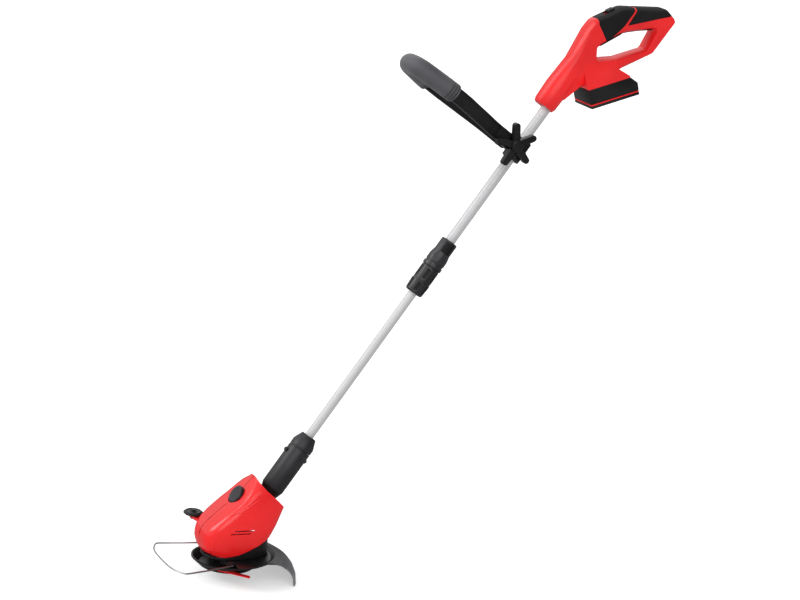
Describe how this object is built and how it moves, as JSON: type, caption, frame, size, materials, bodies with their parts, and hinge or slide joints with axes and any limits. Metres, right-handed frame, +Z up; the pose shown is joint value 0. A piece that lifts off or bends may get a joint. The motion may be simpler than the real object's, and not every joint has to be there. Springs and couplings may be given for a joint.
{
  "type": "cordless grass trimmer",
  "caption": "Cordless grass trimmer: telescopic tube, tilting and swivelling motor head with a swinging plastic blade, guard, plant wire, edging wheel, D-handle and slide-on battery.",
  "frame": {"origin": "on the spindle's axis, at the flat underside of the cutting disc", "axes": "+Z up along the spindle as the head stands level, +X to the user's end, -Y to the tool's left"},
  "size_m": [1.0535, 0.189, 1.2393],
  "materials": {
    "red_plastic": "glossy moulded red, worn nowhere",
    "black_plastic": "fine-grained black moulding",
    "dark_plastic": "dark grey moulding, slight sheen",
    "grey_rubber": "soft grey grip, matt",
    "soft_black": "soft black grip or cable jacket, matt",
    "bare_aluminium": "drawn silver tube, satin",
    "plain_steel": "plain steel",
    "cell_wrap": "wrapped round cells"
  },
  "bodies": {
    "upper_body": {"upper_tube": "bare_aluminium", "telescope_body": "black_plastic", "telescope_wedge": "dark_plastic", "handle_shell_left": "red_plastic", "handle_shell_right": "red_plastic", "grip_pad_front": "soft_black", "grip_pad_rear": "soft_black", "handle_screw_front": "plain_steel", "handle_screw_middle": "plain_steel", "handle_screw_rear": "plain_steel", "trigger_pin": "plain_steel", "trigger_spring": "plain_steel", "switch_body": "black_plastic", "terminal_block": "black_plastic", "handle_lead": "soft_black"},
    "twist_collar": {"twist_collar": "black_plastic"},
    "lower_tube": {"lower_tube": "bare_aluminium", "tube_plug": "dark_plastic", "lower_cable": "soft_black", "tube_socket": "black_plastic", "stop_ring": "plain_steel", "collar_spring": "plain_steel"},
    "lock_collar": {"lock_collar": "dark_plastic"},
    "neck": {"neck_sleeve": "dark_plastic", "guide_pin_rear": "dark_plastic", "guide_pin_front": "dark_plastic", "tilt_knuckle": "black_plastic"},
    "head": {"head_shell_left": "red_plastic", "head_shell_right": "red_plastic", "head_base": "black_plastic", "motor": "plain_steel", "debris_guard": "dark_plastic", "guard_screw_left": "plain_steel", "guard_screw_right": "plain_steel", "wheel_axle": "plain_steel", "tilt_pin": "plain_steel", "button_spring": "plain_steel"},
    "tilt_button": {"tilt_button": "black_plastic"},
    "spindle": {"motor_spindle": "plain_steel", "cutting_disc": "black_plastic"},
    "blade": {"cutting_blade": "red_plastic"},
    "plant_wire": {"plant_wire": "plain_steel"},
    "edging_wheel": {"edging_wheel": "black_plastic"},
    "aux_clamp": {"aux_clamp_front": "black_plastic", "aux_clamp_rear": "black_plastic", "aux_clamp_screw_left": "plain_steel", "aux_clamp_screw_right": "plain_steel"},
    "aux_handle": {"aux_frame": "black_plastic", "aux_grip": "grey_rubber", "aux_bolt": "plain_steel"},
    "aux_knob": {"aux_knob": "black_plastic", "knob_insert": "plain_steel"},
    "trigger": {"trigger": "black_plastic"},
    "lock_off_slider": {"lock_off_slider": "black_plastic"},
    "battery": {"battery_tray": "black_plastic", "battery_band": "red_plastic", "battery_cover": "black_plastic", "battery_cells": "cell_wrap", "latch_spring": "plain_steel"},
    "battery_latch": {"battery_latch": "grey_rubber"}
  },
  "joints": [
    {"name": "twist_lock", "type": "hinge", "parent": "upper_body", "child": "twist_collar", "pos_m": [0.38206, 0, 0.61584], "axis": [0.5484, 0, 0.8362], "range_deg": [0, 90]},
    {"name": "telescope_slide", "type": "slide", "parent": "upper_body", "child": "lower_tube", "axis": [0.5484, 0, 0.8362], "range_m": [0, 0.25]},
    {"name": "collar_pull", "type": "slide", "parent": "lower_tube", "child": "lock_collar", "axis": [0.5484, 0, 0.8362], "range_m": [0, 0.006], "stiffness_N_per_m": 600, "springref_m": -0.004, "deforming": ["collar_spring"]},
    {"name": "head_swivel", "type": "hinge", "parent": "lower_tube", "child": "neck", "pos_m": [0.13361, 0, 0.23704], "axis": [0.5484, 0, 0.8362], "range_deg": [0, 180]},
    {"name": "head_tilt", "type": "hinge", "parent": "neck", "child": "head", "pos_m": [0.0678, 0, 0.1367], "axis": [0, 1, 0], "range_deg": [-15, 25]},
    {"name": "tilt_button_press", "type": "slide", "parent": "head", "child": "tilt_button", "axis": [0.8362, 0, -0.5484], "range_m": [0, 0.004], "stiffness_N_per_m": 800, "springref_m": -0.003, "deforming": ["button_spring"]},
    {"name": "spindle_spin", "type": "hinge", "parent": "head", "child": "spindle", "pos_m": [0, 0, 0], "axis": [0, 0, 1], "continuous": true},
    {"name": "blade_swing", "type": "hinge", "parent": "spindle", "child": "blade", "pos_m": [-0.03, -0.041, 0.004], "axis": [0, 0, 1], "range_deg": [-180, 20]},
    {"name": "plant_wire_fold", "type": "hinge", "parent": "head", "child": "plant_wire", "pos_m": [-0.014, 0, 0.023], "axis": [0, 1, 0], "range_deg": [0, 45]},
    {"name": "edging_wheel_spin", "type": "hinge", "parent": "head", "child": "edging_wheel", "pos_m": [-0.054, 0.074, 0.091], "axis": [0, 0, 1], "continuous": true},
    {"name": "second_handle_slide", "type": "slide", "parent": "upper_body", "child": "aux_clamp", "axis": [0.5484, 0, 0.8362], "range_m": [-0.12, 0.05]},
    {"name": "second_handle_tilt", "type": "hinge", "parent": "aux_clamp", "child": "aux_handle", "pos_m": [0.5426, 0, 0.91714], "axis": [0, 1, 0], "range_deg": [-30, 45]},
    {"name": "star_knob_turn", "type": "hinge", "parent": "aux_handle", "child": "aux_knob", "pos_m": [0.5426, -0.045, 0.91714], "axis": [0, 1, 0], "continuous": true},
    {"name": "trigger_press", "type": "hinge", "parent": "upper_body", "child": "trigger", "pos_m": [0.776, 0, 1.161], "axis": [0, -1, 0], "range_deg": [0, 5], "stiffness_Nm_per_rad": 0.4, "springref_deg": -8.59, "deforming": ["trigger_spring"]},
    {"name": "lock_off_slide", "type": "slide", "parent": "upper_body", "child": "lock_off_slider", "axis": [-0.9063, 0, -0.4226], "range_m": [0, 0.006], "stiffness_N_per_m": 200, "springref_m": -0.003},
    {"name": "battery_slide", "type": "slide", "parent": "upper_body", "child": "battery", "axis": [0.9532, 0, 0.3024], "range_m": [0, 0.12]},
    {"name": "battery_latch_press", "type": "slide", "parent": "battery", "child": "battery_latch", "axis": [-0.4921, 0, -0.8705], "range_m": [0, 0.003], "stiffness_N_per_m": 400, "springref_m": -0.003, "deforming": ["latch_spring"]}
  ]
}
